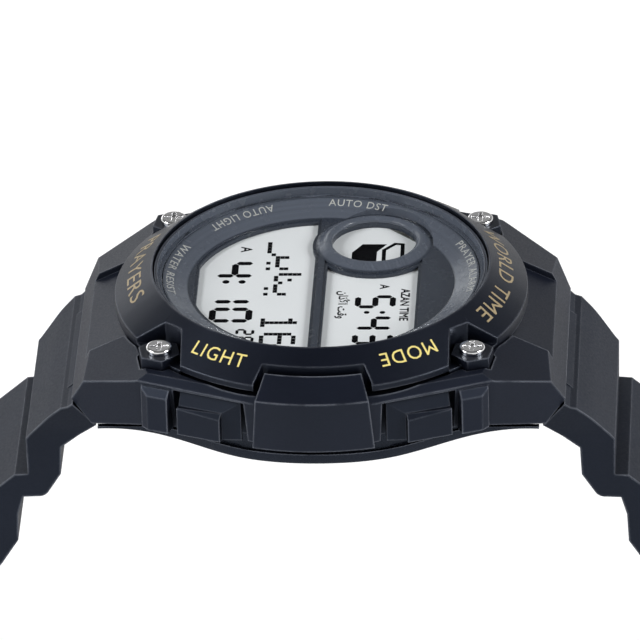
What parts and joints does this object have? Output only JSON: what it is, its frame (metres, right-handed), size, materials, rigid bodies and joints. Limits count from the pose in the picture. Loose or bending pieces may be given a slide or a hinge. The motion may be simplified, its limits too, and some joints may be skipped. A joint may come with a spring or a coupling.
{
  "type": "digital prayer time wristwatch",
  "caption": "Round digital wristwatch head with screwed bezel, windowed display, side push buttons and guards, on a moulded resin strap with buckle, standing open as an arch.",
  "frame": {"origin": "centre of the case back's flat outer face", "axes": "+Z out of the dial, +Y to 12 o'clock (the buckle half of the strap), +X to 3 o'clock"},
  "size_m": [0.0482, 0.0857, 0.0685],
  "materials": {
    "resin_shell": "fine satin moulded resin, charcoal blue-black",
    "resin_bezel": "satin moulded resin with printed gold legends",
    "resin_strap": "fine matt moulded resin",
    "resin_inner": "smooth moulded plastic",
    "button_resin": "satin moulded resin",
    "chrome": "polished screw heads",
    "steel": "brushed stainless steel",
    "crystal": "clear mineral glass",
    "seal_rubber": "black rubber",
    "dial_plastic": "glossy blue-gray moulded dial mask",
    "polariser": "clear film",
    "lcd": "light gray liquid crystal display",
    "guide": "clear white acrylic",
    "lamp": "moulded lamp",
    "conductive_rubber": "striped conductive rubber",
    "module_plastic": "white moulded plastic",
    "board": "green solder mask",
    "epoxy": "black encapsulant",
    "contact_metal": "gold plated spring metal",
    "insulator": "amber film"
  },
  "bodies": {
    "head": {"backlight_lamp": "lamp", "battery": "steel", "battery_clamp": "steel", "battery_contact": "contact_metal", "bezel_ring": "resin_bezel", "bezel_screws": "chrome", "button_spring_lower_left": "steel", "button_spring_lower_right": "steel", "button_spring_upper_left": "steel", "button_spring_upper_right": "steel", "buzzer_disc": "contact_metal", "buzzer_springs": "contact_metal", "case_back": "steel", "case_back_gasket": "seal_rubber", "case_back_screws": "steel", "case_shell": "resin_shell", "circuit_board": "board", "crystal": "crystal", "crystal_gasket": "seal_rubber", "dial_mask": "dial_plastic", "front_polariser": "polariser", "inner_case": "resin_inner", "insulator_sheet": "insulator", "lcd_glass": "lcd", "light_guide": "guide", "main_chip": "epoxy", "module_frame": "module_plastic", "quartz_crystal": "steel", "round_window_ring": "dial_plastic", "rubber_connectors": "conductive_rubber", "side_contacts": "contact_metal", "sounder_coil": "epoxy", "spring_bar_12": "steel", "spring_bar_6": "steel"},
    "button_upper_right": {"button_cap_upper_right": "button_resin", "button_stem_upper_right": "steel", "button_seal_upper_right": "seal_rubber", "button_clip_upper_right": "steel"},
    "button_lower_right": {"button_cap_lower_right": "button_resin", "button_stem_lower_right": "steel", "button_seal_lower_right": "seal_rubber", "button_clip_lower_right": "steel"},
    "button_upper_left": {"button_cap_upper_left": "button_resin", "button_stem_upper_left": "steel", "button_seal_upper_left": "seal_rubber", "button_clip_upper_left": "steel"},
    "button_lower_left": {"button_cap_lower_left": "button_resin", "button_stem_lower_left": "steel", "button_seal_lower_left": "seal_rubber", "button_clip_lower_left": "steel"},
    "strap_half_12": {"strap_12": "resin_strap"},
    "strap_half_6": {"strap_6": "resin_strap"},
    "buckle": {"buckle_frame": "steel", "buckle_pin": "steel"},
    "prong": {"buckle_prong": "steel"},
    "keeper": {"keeper_loop": "resin_strap"}
  },
  "joints": [
    {"name": "press_upper_right", "type": "slide", "parent": "head", "child": "button_upper_right", "axis": [-0.9397, -0.342, 0], "range_m": [0, 0.0009], "stiffness_N_per_m": 300, "springref_m": -0.0015, "deforming": ["button_spring_upper_right"]},
    {"name": "press_lower_right", "type": "slide", "parent": "head", "child": "button_lower_right", "axis": [-0.9397, 0.342, 0], "range_m": [0, 0.0009], "stiffness_N_per_m": 300, "springref_m": -0.0015, "deforming": ["button_spring_lower_right"]},
    {"name": "press_upper_left", "type": "slide", "parent": "head", "child": "button_upper_left", "axis": [0.9397, -0.342, 0], "range_m": [0, 0.0009], "stiffness_N_per_m": 300, "springref_m": -0.0015, "deforming": ["button_spring_upper_left"]},
    {"name": "press_lower_left", "type": "slide", "parent": "head", "child": "button_lower_left", "axis": [0.9397, 0.342, 0], "range_m": [0, 0.0009], "stiffness_N_per_m": 300, "springref_m": -0.0015, "deforming": ["button_spring_lower_left"]},
    {"name": "strap_12_swing", "type": "hinge", "parent": "head", "child": "strap_half_12", "pos_m": [0, 0.02351, 0.00408], "axis": [-1, 0, 0], "range_deg": [0, 8]},
    {"name": "strap_6_swing", "type": "hinge", "parent": "head", "child": "strap_half_6", "pos_m": [0, -0.02351, 0.00408], "axis": [1, 0, 0], "range_deg": [0, 8]},
    {"name": "buckle_turn", "type": "hinge", "parent": "strap_half_12", "child": "buckle", "pos_m": [0, 0.02239, -0.05319], "axis": [1, 0, 0], "range_deg": [-50, 50]},
    {"name": "prong_turn", "type": "hinge", "parent": "buckle", "child": "prong", "pos_m": [0, 0.02239, -0.05319], "axis": [1, 0, 0], "range_deg": [0, 70]},
    {"name": "keeper_slide", "type": "hinge", "parent": "strap_half_12", "child": "keeper", "pos_m": [0, -0.02927, -0.03853], "axis": [1, 0, 0], "range_deg": [0, 12]}
  ]
}
